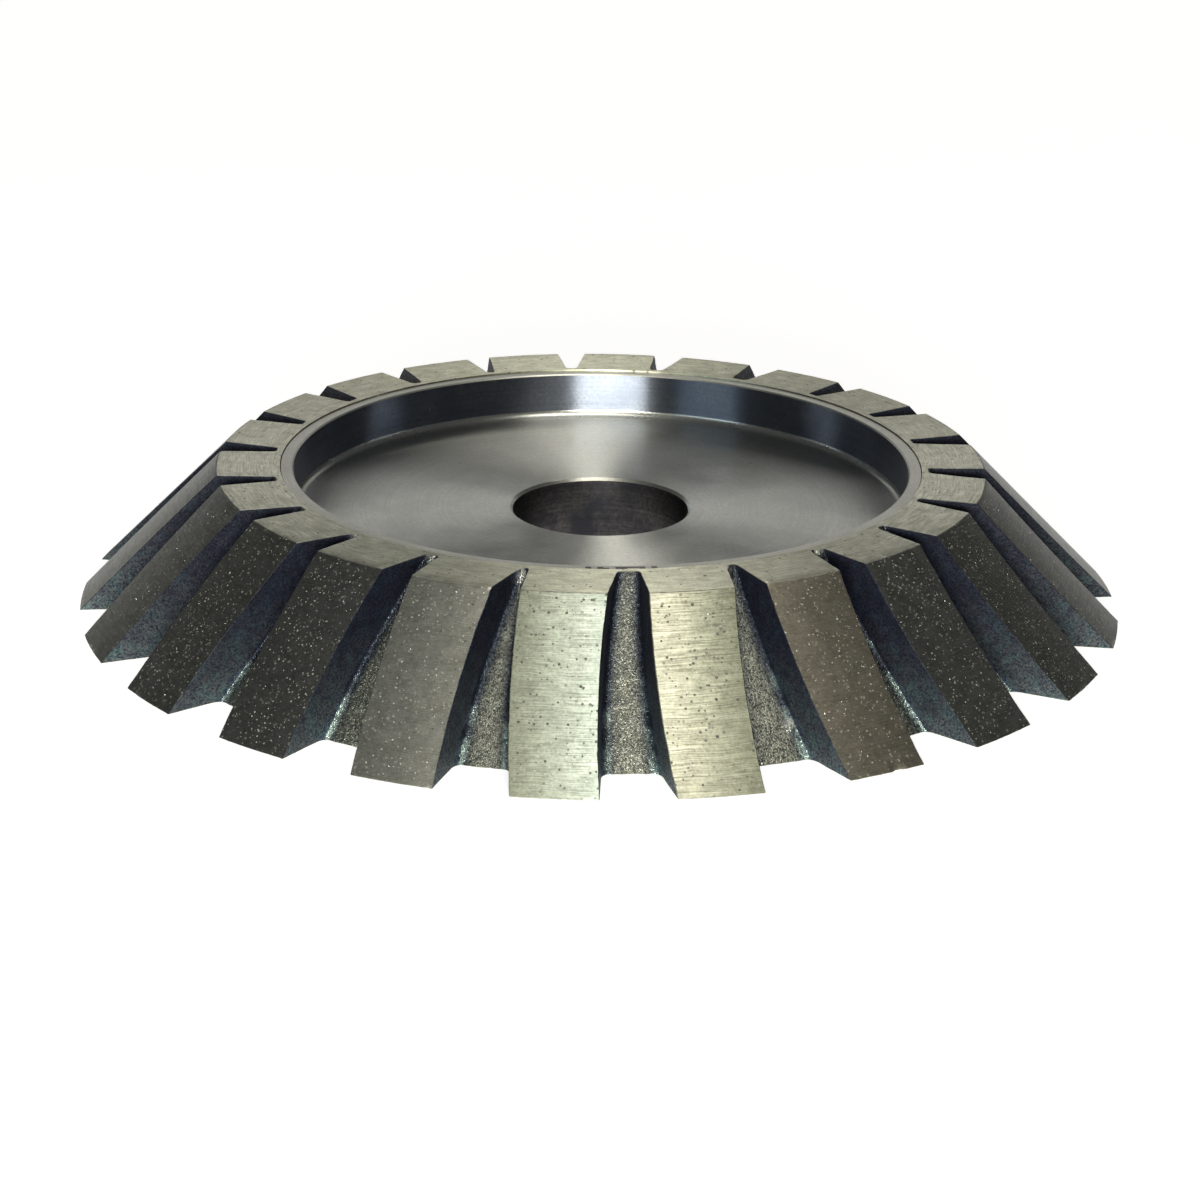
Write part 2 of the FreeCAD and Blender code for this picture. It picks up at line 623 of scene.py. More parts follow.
FINISHES: dict[Zone, Finish] = {
    Zone.GROUND_BEVEL: GroundBond(
        "ground_bevel", light=(0.54, 0.54, 0.48), dark=(0.27, 0.26, 0.22), roughness=0.42,
        line_length=5.0, line_width=0.14, gloss_stretch=0.6, pit_share=0.66, grit_share=0.45,
    ),
    # The land is the same bond as the bevel; its lighter colour is partly a painted highlight.
    Zone.LAPPED_LAND: GroundBond(
        "lapped_land", light=(0.69, 0.69, 0.56), dark=(0.41, 0.40, 0.31), roughness=0.42,
        line_length=4.0, line_width=0.15, gloss_stretch=0.76, pit_share=0.2, grit_share=0.1,
    ),
    Zone.WORN_EDGE: GroundBond(
        "worn_edge", light=(0.42, 0.42, 0.37), dark=(0.22, 0.21, 0.19), roughness=0.58,
        line_length=1.2, line_width=0.4, gloss_stretch=0.2, pit_share=0.0, grit_share=0.1,
    ),
    # The walls are the same bond as the floors; their near-black navy is painted shade and painted reflection
    # of the dim room.
    Zone.PRESSED_WALL: PressedBond(
        "pressed_wall", grain_colour=(0.085, 0.088, 0.095), gap_colour=(0.013, 0.014, 0.026),
        grain_depth=0.03, roughness=0.62, metallic=0.25, sheen=0.2, bloom=(1.1, 1.5, 1.4),
    ),
    Zone.PRESSED_FLOOR: PressedBond(
        "pressed_floor", grain_colour=(0.60, 0.61, 0.49), gap_colour=(0.06, 0.062, 0.062),
        grain_depth=0.06, roughness=0.38, metallic=0.9, sheen=0.5, bloom=(0.84, 0.86, 0.9),
    ),
    Zone.TURNED_WEB: TurnedSteel(
        "turned_web", light=(0.52, 0.52, 0.48), dark=(0.38, 0.38, 0.36), roughness=0.32,
        ring_width=0.26, ring_depth=0.004, gloss_stretch=0.98, speck_share=0.35, mottle=0.2,
    ),
    # The recess wall is the same turned steel as the web; its dark navy is painted reflection of the dim room
    # and painted shade.
    Zone.POLISHED_WALL: TurnedSteel(
        "polished_wall", light=(0.25, 0.27, 0.31), dark=(0.16, 0.18, 0.235), roughness=0.3,
        ring_width=0.35, ring_depth=0.0, gloss_stretch=1.0, speck_share=0.0, mottle=0.6,
    ),
    Zone.FILLET: TurnedSteel(
        "fillet", light=(0.56, 0.56, 0.52), dark=(0.42, 0.42, 0.39), roughness=0.28,
        ring_width=0.26, ring_depth=0.004, gloss_stretch=0.75, speck_share=0.0, mottle=0.4,
    ),
    Zone.RIM: TurnedSteel(
        "rim", light=(0.52, 0.52, 0.47), dark=(0.38, 0.38, 0.34), roughness=0.38,
        ring_width=0.2, ring_depth=0.004, gloss_stretch=0.3, speck_share=0.1, mottle=0.2,
    ),
    Zone.BORE: TurnedSteel(
        "bore", light=(0.17, 0.155, 0.14), dark=(0.05, 0.05, 0.06), roughness=0.36,
        ring_width=0.5, ring_depth=0.005, gloss_stretch=0.3, speck_share=0.2, mottle=0.9,
    ),
    Zone.BACK_FACE: TurnedSteel(
        "back_face", light=(0.47, 0.47, 0.44), dark=(0.33, 0.33, 0.31), roughness=0.36,
        ring_width=0.9, ring_depth=0.0, gloss_stretch=0.6, speck_share=0.3, mottle=0.5,
    ),
    Zone.GRIT: Crystal(
        "diamond_grit", light=(0.80, 0.80, 0.75), dark=(0.22, 0.22, 0.19), roughness=0.16
    ),
}
MATERIALS: dict[Zone, bpy.types.Material] = {}  # main makes these before the pieces


def placed(name: str, data: bpy.types.ID) -> bpy.types.Object:
    """Makes an object and links it to the scene.

    Args:
        name: The object's name.
        data: Its mesh, lamp or camera.

    Returns:
        The object.
    """
    made = bpy.data.objects.new(name, data)
    bpy.context.scene.collection.objects.link(made)
    return made


class MeshPiece:
    """A mesh that is built up in millimetres and then becomes a piece of the wheel."""

    def __init__(self, name: str, zones: Sequence[Zone]) -> None:
        """Starts an empty mesh.

        Args:
            name: The name of the piece and of its mesh.
            zones: The zones that its faces may lie in.
        """
        self.name = name
        self.zones = zones
        self.points: list[Place] = []
        self.casts: list[Colour] = []
        self.faces: list[tuple[int, ...]] = []
        self.face_zones: list[int] = []

    def point(self, place: Vector, cast: Colour = PLAIN) -> None:
        """Adds a point with its tint."""
        self.points.append(tuple(place))
        self.casts.append(cast)

    def face(self, corners: Sequence[int], zone: Zone) -> None:
        """Adds a face over points that are already there."""
        self.faces.append(tuple(corners))
        self.face_zones.append(self.zones.index(zone))

    def skin(self, count: int, zones: Sequence[Sequence[Zone]], outwards: bool) -> None:
        """Lays faces over closed loops of points that were added one after the other.

        Args:
            count: How many points each loop has.
            zones: For each loop, the zones of the faces up to the next. The last joins the first.
            outwards: Whether the faces look away from the axis where the loops climb.
        """
        for number, row in enumerate(zones):
            start = number * count
            above = (number + 1) % len(zones) * count
            for column, zone in enumerate(row):
                beside = (column + 1) % count
                if outwards:
                    corners = (start + column, start + beside, above + beside, above + column)
                else:
                    corners = (start + column, above + column, above + beside, start + beside)
                self.face(corners, zone)

    def finish(self, sharp: float | None = 30.0) -> bpy.types.Object:
        """Makes the object in metres and links it to the scene.

        Args:
            sharp: Edges that turn by more than this, in degrees, stay sharp. None leaves the faces flat.

        Returns:
            The object.
        """
        mesh = bpy.data.meshes.new(self.name)
        mesh.from_pydata([tuple(part * MM for part in point) for point in self.points], [], self.faces)
        for zone in self.zones:
            mesh.materials.append(MATERIALS[zone])
        mesh.polygons.foreach_set("material_index", self.face_zones)
        mesh.polygons.foreach_set("use_smooth", [sharp is not None] * len(self.faces))
        layer = mesh.color_attributes.new(CAST, "FLOAT_COLOR", "POINT")
        layer.data.foreach_set("color", [part for cast in self.casts for part in (*cast, 1.0)])
        if sharp is not None:
            mesh.set_sharp_from_angle(angle=math.radians(sharp))
        mesh.update()
        return placed(self.name, mesh)


@dataclass
class SteelCore:
    """The turned steel core: a thick web with the bore in it, and a rim round the recess."""

    sizes: WheelSizes
    rim_width: float = 1.9
    rim_edge: float = 0.2
    corner_radius: float = 1.1
    corner_steps: int = 8
    fillet_share: float = 0.8
    joint_gap: float = 0.12
    dark_band_width: float = 1.35
    dark_band_middle: float = 0.7
    dark_band_arc: Span = (1.8, 14.5)
    dark_band_scale: float = 0.8
    dark_band_limit: float = -0.12
    nick_arc: Span = (-149.0, -141.0)
    nick_reach: float = 1.0
    nick_depth: float = 0.45
    nick_evenness: float = 0.7
    turns: int = 360
    hold: float = 0.08

    def profile(self) -> list[tuple[float, float, Zone]]:
        """The turned profile, from the bore's lower mouth up, round and back.

        Returns:
            Radius, height and the zone of the stretch that starts there, for each corner.
        """
        sizes = self.sizes
        chamfer = (sizes.web - sizes.bore_length) / 2
        mouth = sizes.bore_radius + chamfer
        joint = sizes.joint_radius(sizes.rim_level)
        recess = joint - self.rim_width
        points = [
            (mouth, 0.0, Zone.BORE),
            (sizes.bore_radius, chamfer, Zone.BORE),
            (sizes.bore_radius, sizes.web - chamfer, Zone.RIM),
            (mouth, sizes.web, Zone.TURNED_WEB),
        ]
        for step in range(self.corner_steps + 1):
            angle = math.radians(90 * step / self.corner_steps)
            radius = recess - self.corner_radius + self.corner_radius * math.sin(angle)
            level = sizes.web + self.corner_radius - self.corner_radius * math.cos(angle)
            zone = Zone.FILLET if step < self.corner_steps * self.fillet_share else Zone.POLISHED_WALL
            points.append((radius, level, zone))
        points += [
            (recess, sizes.rim_level - self.rim_edge, Zone.RIM),
            (recess + self.rim_edge, sizes.rim_level, Zone.RIM),
            (joint - self.dark_band_width, sizes.rim_level, Zone.RIM),
            (joint - self.dark_band_width * self.dark_band_middle, sizes.rim_level, Zone.RIM),
            (joint - self.joint_gap, sizes.rim_level, Zone.BORE),
            (joint, sizes.rim_level - self.joint_gap * 2, Zone.BORE),
            (sizes.seat_radius, 0.0, Zone.BACK_FACE),
        ]
        return self.held(points)

    def held(self, points: Sequence[tuple[float, float, Zone]]) -> list[tuple[float, float, Zone]]:
        """Adds a point close to both ends of each long stretch, so that its shading stays flat.

        Args:
            points: Radius, height and zone of each corner of the profile.

        Returns:
            The same with the added points.
        """
        out: list[tuple[float, float, Zone]] = []
        for number, (radius, level, zone) in enumerate(points):
            after = points[(number + 1) % len(points)]
            step = Vector((after[0] - radius, after[1] - level))
            out.append((radius, level, zone))
            if step.length > 4 * self.hold:
                near = step.normalized() * self.hold
                out.append((radius + near.x, level + near.y, zone))
                out.append((after[0] - near.x, after[1] - near.y, zone))
        return out

    def nick(self, degrees: float, radius: float, level: float) -> float:
        """How far the bore's worn mouth gives way outwards at a point of the turned surface.

        Args:
            degrees: Angle from the first tooth, from nought to a full turn.
            radius: The point's radius.
            level: Its height above the back face.

        Returns:
            The distance in millimetres, which is nought outside the worn stretch.
        """
        bore = self.sizes.bore_radius
        mouth = bore < radius < bore + self.nick_reach and level == self.sizes.web
        middle = sum(self.nick_arc) / 2
        half = (self.nick_arc[1] - self.nick_arc[0]) / 2
        share = 1 - ((degrees - 360 - middle) / half) ** 2
        if not mouth or share <= 0:
            return 0.0
        roughness = self.nick_evenness + noise.noise(Vector((degrees, 0, 0)))
        return self.nick_depth * math.sqrt(share) * roughness

    def dark_beside_joint(self, degrees: float, radius: float, level: float) -> bool:
        """Whether the ring beside the joint takes the dark finish here.

        Args:
            degrees: Angle from the first tooth, from nought to a full turn.
            radius: Radius of the point.
            level: Its height above the back face.

        Returns:
            True where it is dark.
        """
        sizes = self.sizes
        beside = level == sizes.rim_level and radius >= sizes.joint_radius(level) - self.dark_band_width
        within = self.dark_band_arc[0] < degrees < self.dark_band_arc[1]
        patch = noise.noise(Vector((degrees * self.dark_band_scale, radius, 0)))
        return beside and within and patch > self.dark_band_limit

    def build(self) -> bpy.types.Object:
        """Turns the profile round the bore's axis.

        Returns:
            The core's object.
        """
        mesh = MeshPiece("turned_core", CORE_ZONES)
        angles = [360 * turn / self.turns for turn in range(self.turns)]
        zones = []
        for radius, level, zone in self.profile():
            for degrees in angles:
                mesh.point(self.sizes.around(degrees, radius + self.nick(degrees, radius, level), level))
            # A patch of the ring beside the joint takes the bore's dark finish.
            zones.append([Zone.BORE if self.dark_beside_joint(degrees, radius, level) else zone for degrees in angles])
        mesh.skin(self.turns, zones, outwards=False)
        piece = mesh.finish()
        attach(piece, BODY)
        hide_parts("steel_core")
        return piece


def between(first: Colour, second: Colour, share: float) -> Colour:
    """The colour that lies this share of the way from the first to the second."""
    return tuple(a + (b - a) * share for a, b in zip(first, second))


def uneven(place: Vector, waves: Sequence[Span], middle: float = 0.0) -> float:
    """Noise about a middle value at a point, added up over waves that are each a scale and a strength."""
    return sum((strength * noise.noise(place * scale) for scale, strength in waves), middle)


@dataclass(frozen=True)
class Column:
    """A point of the crown's section: where it is, how roughness and wear move it, and what tints it."""

    across: float
    out: float
    zone: Zone
    radial: float = 0.0
    sideways: float = 0.0
    cast: Colour = PLAIN


@dataclass(frozen=True)
class Blemish:
    """A lump on the crown, or a chip out of it where its height is less than nought."""

    angle: float
    radius: float
    level: float
    reach: float
    height: float


@dataclass
class DiamondCrown:
    """The sintered crown: a thin conical ring and its teeth, as one closed mesh.

    Its surface is a grid of columns, which run down the slope, and of levels.
    """

    sizes: WheelSizes
    tooth_width: float = 11.2
    bend_radius: float = 165.0
    skew: float = 0.8
    wall_draft: float = 1.5
    foot_radius: float = 0.95
    foot_taper: float = 0.5
    edge_wear: float = 0.07
    least_wear: float = 0.02
    wear_waves: tuple[Span, ...] = ((0.9, 0.8), (2.6, 0.7))
    mould_waves: tuple[Span, ...] = ((0.35, 1.0), (1.1, 0.8), (2.3, 0.6))
    floor_roughness: float = 0.07
    wall_roughness: float = 0.03
    wall_raggedness: float = 0.8
    edge_raggedness: float = 1.8
    foot_raggedness: float = 0.3
    seat_clearance: float = 0.02
    seat_lip: float = 0.1
    levels: int = 46
    face_steps: int = 18
    wall_steps: int = 8
    foot_steps: int = 4
    floor_steps: int = 12
    back_steps: int = 3
    land_steps: int = 5
    settling_rounds: int = 4
    # Navy painted shade in the slots' corners, where walls meet floors, and how far it reaches and how much it
    # darkens towards the top.
    painted_corner_shade: Colour = (0.16, 0.19, 0.30)
    corner_shade_width: float = 0.8
    top_darkening: float = 0.25
    # Painted bluish highlight along the feet towards the back face, in patches, where the fillets catch the
    # lamps.
    painted_foot_highlight: Colour = (1.15, 1.42, 1.6)
    foot_highlight_fade: float = 2.2
    foot_highlight_start: float = 1.35
    foot_highlight_patches: float = 0.9
    patch_steps: Place = (7.3, 3.1, 0.45)
    # Painted light on the slot walls: painted shade at the top, and painted light towards the foot, where the
    # lamps reach.
    wall_top_shade: Colour = (0.28, 0.29, 0.42)
    wall_foot_light: Colour = (1.65, 1.8, 1.65)
    wall_light_fade: float = 1.5
    drift: Mapping[int, float] = field(
        default_factory=lambda: {
            0: -0.45, 1: -0.25, 2: 0.4, 7: 0.4, 8: 0.4, 9: 0.4, 10: 1.0, 11: 1.1, 12: 0.9, 14: -0.4
        }
    )
    extra_skew: Mapping[int, float] = field(
        default_factory=lambda: {
            0: 1.2, 1: -1.5, 2: 1.2, 3: -0.3, 4: 0.4, 5: 1.2, 18: -0.3, 19: -1.0, 20: 0.2
        }
    )
    # Tints tooth by tooth, left edge then right: mostly painted shade that deepens on the teeth turned away
    # from the lamps, with some real olive and brown tone on the first three teeth.
    casts: Mapping[int, tuple[Colour, Colour]] = field(
        default_factory=lambda: {
            0: ((0.76, 0.80, 0.70), (0.94, 1.06, 1.06)),
            1: ((1.04, 1.04, 0.94), (0.86, 0.90, 0.76)),
            2: ((1.25, 1.15, 1.02), (1.15, 1.05, 0.94)),
            3: ((0.62, 0.62, 0.64), (0.62, 0.62, 0.64)),
            4: ((0.44, 0.44, 0.44), (0.44, 0.44, 0.44)),
            18: ((0.60, 0.60, 0.60), (0.56, 0.56, 0.56)),
            19: ((0.56, 0.56, 0.57), (0.56, 0.56, 0.57)),
            20: ((0.62, 0.62, 0.64), (0.62, 0.62, 0.64)),
            21: ((1.12, 1.10, 1.08), (1.26, 1.24, 1.22)),
        }
    )
    # Painted shade for every tooth not listed: the ones turned furthest from the lamps.
    turned_away_shade: Colour = (0.34, 0.34, 0.34)
    # Painted highlight on the worn edge of these front teeth, where the chamfer catches the overhead lamp.
    highlit_edges: tuple[int, ...] = (0, 1)
    painted_edge_highlight: Colour = (2.2, 2.2, 1.9)
    # The lumps at the slots' tips are tinted lighter.
    lump_tint: Colour = (1.8, 1.8, 2.0)
    lump_tint_strength: float = 1.6
    blemishes: tuple[Blemish, ...] = (
        Blemish(35.1, 74.9, 0.1, 0.7, -0.45),
        Blemish(27.2, 63.4, 3.4, 0.9, 0.6),
        Blemish(-39.9, 47.1, 19.8, 0.7, 0.45),
        Blemish(-23.7, 47.2, 19.7, 0.8, 0.5),
        Blemish(-9.0, 47.7, 19.2, 1.6, 0.5),
        Blemish(24.6, 47.5, 19.5, 1.1, 0.5),
        Blemish(42.4, 47.2, 19.7, 0.8, 0.5),
        Blemish(59.9, 47.1, 19.8, 0.7, 0.45),
    )

    def heading(self, tooth: int) -> float:
        """Direction of a tooth's middle, in degrees from where the first tooth should be."""
        return tooth * self.sizes.pitch + self.drift.get(tooth % self.sizes.tooth_count, 0.0)

    def flank(self, tooth: int, side: int, level: float, height: float) -> Span:
        """A point of a tooth's wall.

        Args:
            tooth: The tooth's number.
            side: -1 for the wall before the tooth and 1 for the wall after it.
            level: Height above the back face.
            height: Height above the slot's floor, square to the bevel.

        Returns:
            The distance across from the tooth's middle, and the distance out from the axis.
        """
        sizes = self.sizes
        draft = math.tan(math.radians(self.wall_draft)) * (sizes.tooth_height - height)
        aside = side * (self.tooth_width / 2 + draft)
        downhill = (sizes.height / 2 - level) * sizes.reach + height - sizes.tooth_height
        turn = math.radians(self.skew + self.extra_skew.get(tooth % sizes.tooth_count, 0.0))
        across = aside
        for _ in range(self.settling_rounds):
            along = downhill * math.cos(turn) + across * math.sin(turn)
            bent = self.bend_radius - math.sqrt((self.bend_radius - aside) ** 2 - along**2)
            across = (bent + downhill * math.sin(turn)) / math.cos(turn)
        return across, sizes.floor_radius(level) + height * sizes.reach

    def height_on(self, tooth: int, side: int, level: float, radius: float) -> float:
        """Finds how high up a wall it meets a cone.

        Args:
            tooth: The tooth's number.
            side: -1 for the wall before the tooth and 1 for the wall after it.
            level: Height above the back face.
            radius: The cone's radius at this level.

        Returns:
            The height above the slot's floor, square to the bevel.
        """
        sizes = self.sizes
        height = (radius - sizes.floor_radius(level)) / sizes.reach
        for _ in range(self.settling_rounds):
            across, _ = self.flank(tooth, side, level, height)
            height = (math.sqrt(radius**2 - across**2) - sizes.floor_radius(level)) / sizes.reach
        return height

    def half(self, tooth: int, side: int, level: float) -> list[Column]:
        """One side of a tooth's section: its wall, and the foot that runs into the floor.

        Args:
            tooth: The tooth's number.
            side: -1 for the wall before the tooth and 1 for the wall after it.
            level: Height above the back face.

        Returns:
            The columns from the toe up to the edge of the tooth's face.
        """
        sizes = self.sizes
        foot = self.foot_radius - self.foot_taper * level / sizes.height
        low = self.height_on(tooth, side, level, sizes.floor_radius(level))
        high = self.height_on(tooth, side, level, sizes.bevel_radius(level))
        corner = self.flank(tooth, side, level, low)
        ankle = self.flank(tooth, side, level, low + foot)
        toe_across = corner[0] + side * foot
        toe = (toe_across, math.sqrt(sizes.floor_radius(level) ** 2 - toe_across**2))
        # Painted shade in the corner, with a painted highlight towards the back face.
        cast = self.foot_cast(tooth, side, level)
        columns = []
        for step in range(self.foot_steps):
            share = step / self.foot_steps
            pull = ((1 - share) ** 2, 2 * share * (1 - share) * math.sqrt(0.5), share**2)
            across = sum(weight * point[0] for weight, point in zip(pull, (toe, corner, ankle))) / sum(pull)
            out = sum(weight * point[1] for weight, point in zip(pull, (toe, corner, ankle))) / sum(pull)
            zone = Zone.PRESSED_FLOOR if share < 0.5 else Zone.PRESSED_WALL
            ragged = self.foot_raggedness * share * side
            columns.append(Column(across, out, zone, 1 - share, ragged, cast))
        top = high - self.edge_wear
        # Painted light up the wall: lighter towards the foot, painted shade towards the top.
        rise = min(1.0, (level / sizes.height) * self.wall_light_fade) ** 0.5
        cast = between(self.wall_foot_light, self.wall_top_shade, rise)
        for step in range(self.wall_steps + 1):
            share = step / self.wall_steps
            across, out = self.flank(tooth, side, level, low + foot + (top - low - foot) * share)
            ragged = self.edge_raggedness if step == self.wall_steps else self.wall_raggedness
            columns.append(Column(across, out, Zone.PRESSED_WALL, 0.0, side * ragged, cast))
        return columns

    def foot_cast(self, tooth: int, side: int, level: float) -> Colour:
        """The tint where a wall meets its floor: painted shade, and in places towards the back face a painted
        highlight.

        Args:
            tooth: The tooth's number.
            side: -1 for the wall before the tooth and 1 for the wall after it.
            level: Height above the back face.

        Returns:
            The tint.
        """
        steps = self.patch_steps
        patch = noise.noise(Vector((tooth * steps[0], side * steps[1], level * steps[2])))
        # The painted highlight grows towards the back face, in patches, over the painted shade.
        painted_foot_highlight = (1 - level / self.sizes.height) * self.foot_highlight_fade - self.foot_highlight_start + self.foot_highlight_patches * patch
        return between(self.painted_corner_shade, self.painted_foot_highlight, max(0.0, min(1.0, painted_foot_highlight)))

    def section(self, tooth: int, level: float) -> list[Column]:
        """A tooth's whole section at one level.

        Args:
            tooth: The tooth's number.
            level: Height above the back face.

        Returns:
            The columns from the toe before the tooth to the toe after it.
        """
        radius = self.sizes.bevel_radius(level)
        number = tooth % self.sizes.tooth_count
        # Each tooth's tint, painted shade on the teeth turned from the lamps.
        casts = self.casts.get(number, (self.turned_away_shade, self.turned_away_shade))
        edges = []
        for side in (-1, 1):
            across, _ = self.flank(tooth, side, level, self.height_on(tooth, side, level, radius))
            edges.append(across - side * self.edge_wear)
        columns = self.half(tooth, -1, level)
        # Painted highlight on the edge of the front teeth.
        if number in self.highlit_edges:
            columns[-1] = replace(columns[-1], zone=Zone.WORN_EDGE, cast=self.painted_edge_highlight)
        for step in range(self.face_steps + 1):
            across = edges[0] + (edges[1] - edges[0]) * step / self.face_steps
            zone = Zone.GROUND_BEVEL if step < self.face_steps else Zone.PRESSED_WALL
            ragged = {0: -1, self.face_steps: 1}.get(step, 0) * self.edge_raggedness
            cast = between(casts[0], casts[1], step / self.face_steps)
            columns.append(Column(across, math.sqrt(radius**2 - across**2), zone, 0.0, ragged, cast))
        after = self.half(tooth, 1, level)
        after.reverse()
        zones = [column.zone for column in after[1:]] + [Zone.PRESSED_FLOOR]
        columns += [replace(column, zone=zone) for column, zone in zip(after, zones)]
        return columns

    def polar(self, tooth: int, column: Column) -> Span:
        """A column's angle, in degrees from the first tooth, and its radius."""
        angle = self.heading(tooth) + math.degrees(math.atan2(column.across, column.out))
        return angle, math.hypot(column.across, column.out)

    def floor_columns(self, start: Span, end: Span, level: float) -> list[tuple[float, float, Column]]:
        """The columns of a slot's floor, with painted shade towards both toes, and darker towards the top.

        Args:
            start: Angle in degrees and radius of the toe before the floor.
            end: The same for the toe after it.
            level: Height above the back face.

        Returns:
            Angle in degrees, radius in millimetres and the column, in order of angle.
        """
        columns = []
        radius = start[1]
        sweep = end[0] - start[0]
        deep = self.top_darkening * (level / self.sizes.height) ** 2
        for step in range(1, self.floor_steps):
            share = step / self.floor_steps
            toe = math.radians(sweep) * radius * min(share, 1 - share)
            # Painted shade near each toe, and darkening towards the top.
            dark = math.exp(-toe / self.corner_shade_width)
            cast = between(PLAIN, self.painted_corner_shade, dark + (1 - dark) * deep)
            column = Column(0.0, radius, Zone.PRESSED_FLOOR, 1.0, 0.0, cast)
            columns.append((start[0] + sweep * share, radius, column))
        return columns

    def ring(self, level: float) -> list[tuple[float, float, Column]]:
        """Every column at one level, all the way round.

        Args:
            level: Height above the back face.

        Returns:
            Angle in degrees, radius in millimetres and the column, in order of angle.
        """
        ring: list[tuple[float, float, Column]] = []
        for tooth in range(self.sizes.tooth_count):
            ring += [(*self.polar(tooth, column), column) for column in self.section(tooth, level)]
            next_toe = self.polar(tooth + 1, self.half(tooth + 1, -1, level)[0])
            ring += self.floor_columns(ring[-1][:2], next_toe, level)
        return ring

    def roughened(self, angle: float, radius: float, level: float, column: Column) -> Span:
        """Moves a point, within its level, by the mould's roughness and by chips and lumps.

        Args:
            angle: The point's angle in degrees.
            radius: Its radius.
            level: Its height above the back face.
            column: The column that it lies on.

        Returns:
            Its new angle and radius.
        """
        place = self.sizes.around(angle, radius, level)
        swell = uneven(place, self.mould_waves)
        radius += sum(blemish.height * share for blemish, share in self.marks(place))
        radius += column.radial * self.floor_roughness * swell
        angle += math.degrees(column.sideways * self.wall_roughness * swell / radius)
        return angle, radius

    def marks(self, place: Vector) -> list[tuple[Blemish, float]]:
        """The blemishes that reach a point.

        Args:
            place: The point.

        Returns:
            Each blemish, with how much of it is felt there.
        """
        marks = []
        for blemish in self.blemishes:
            centre = self.sizes.around(blemish.angle, blemish.radius, blemish.level)
            share = 1 - ((place - centre).length / blemish.reach) ** 2
            if share > 0:
                marks.append((blemish, share))
        return marks

    def lump_tinted(self, place: Vector, column: Column) -> Colour:
        """A column's tint at a point, lighter on the lumps.

        Args:
            place: The point.
            column: The column that it lies on.

        Returns:
            The tint.
        """
        if column.zone is Zone.GROUND_BEVEL:
            return column.cast
        share = sum(share for blemish, share in self.marks(place) if blemish.height > 0)
        return between(column.cast, self.lump_tint, min(1.0, self.lump_tint_strength * share))

    def station_levels(self) -> list[float]:
        """Spaces the slope's rings.

        Returns:
            Their levels, from the foot up.
        """
        low = self.edge_wear
        high = self.sizes.height - self.edge_wear
        return [low + (high - low) * step / self.levels for step in range(self.levels + 1)]

    def inset(self, angle: float, radius: float, column: Column) -> Span:
        """Draws a column's end on a flat face in by the uneven wear on the edge.

        Args:
            angle: The end's angle in degrees.
            radius: Its radius.
            column: The column that it belongs to.

        Returns:
            Its new angle and radius.
        """
        place = self.sizes.around(angle, radius, 0.0)
        wear = max(self.edge_wear * uneven(place, self.wear_waves, middle=1.0), self.least_wear)
        side = 0.0
        if column.zone is Zone.PRESSED_WALL or column.sideways:
            side = math.copysign(1.0, column.across)
        if column.zone in (Zone.GROUND_BEVEL, Zone.PRESSED_FLOOR):
            radius -= wear
        angle -= math.degrees(side * wear / radius)
        return angle, radius

    def flat_ring(self, level: float) -> list[Span]:
        """Where every column ends on a flat face.

        Args:
            level: The face's height above the back face.

        Returns:
            Angle in degrees and radius of each end.
        """
        ends = []
        for angle, radius, column in self.ring(level):
            angle, radius = self.roughened(angle, radius, level, column)
            ends.append(self.inset(angle, radius, column))
        return ends

    def loops(self) -> list[tuple[list[Vector], list[Colour], Zone | None]]:
        """The closed loops of points that the skin is laid over, from the foot up and over the land.

        Returns:
            For each loop its points, their tints, and the zone of what follows it. None is the columns' own.
        """
        sizes = self.sizes
        loops: list[tuple[list[Vector], list[Colour], Zone | None]] = []

        def add_flat(ends: list[Span], inner: float, share: float, level: float, zone: Zone) -> None:
            """Adds the loop that lies this share of the way from an inner circle out to the ends."""
            points = [sizes.around(angle, inner + (radius - inner) * share, level) for angle, radius in ends]
            loops.append((points, [PLAIN] * len(points), zone))

        foot = self.flat_ring(0.0)
        inner = sizes.joint_radius(0.0) + self.seat_clearance
        for step in range(self.back_steps + 1):
            zone = Zone.LAPPED_LAND if step < self.back_steps else Zone.WORN_EDGE
            add_flat(foot, inner, step / self.back_steps, 0.0, zone)
        levels = self.station_levels()
        for level in levels:
            ring = self.ring(level)
            places = [self.roughened(angle, radius, level, column) for angle, radius, column in ring]
            points = [sizes.around(angle, radius, level) for angle, radius in places]
            casts = [self.lump_tinted(point, column) for point, (_, _, column) in zip(points, ring)]
            loops.append((points, casts, Zone.WORN_EDGE if level == levels[-1] else None))
        land = self.flat_ring(sizes.height)
        inner = sizes.joint_radius(sizes.rim_level)
        for step in range(self.land_steps + 1):
            add_flat(land, inner, 1 - step / self.land_steps, sizes.height, Zone.LAPPED_LAND)
        add_flat(land, inner, 0.0, sizes.rim_level - self.seat_lip, Zone.LAPPED_LAND)
        return loops

    def build(self) -> bpy.types.Object:
        """Lays the grid round the crown and closes it over the foot, the land and the seat.

        Returns:
            The crown's object.
        """
        mesh = MeshPiece("sintered_crown", CROWN_ZONES)
        own = [column.zone for _, _, column in self.ring(0.0)]
        zones = []
        for points, casts, zone in self.loops():
            for point, cast in zip(points, casts):
                mesh.point(point, cast)
            zones.append([zone or each for each in own])
        mesh.skin(len(own), zones, outwards=True)
        piece = mesh.finish()
        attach(piece, BODY)
        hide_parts("diamond_crown")
        return piece


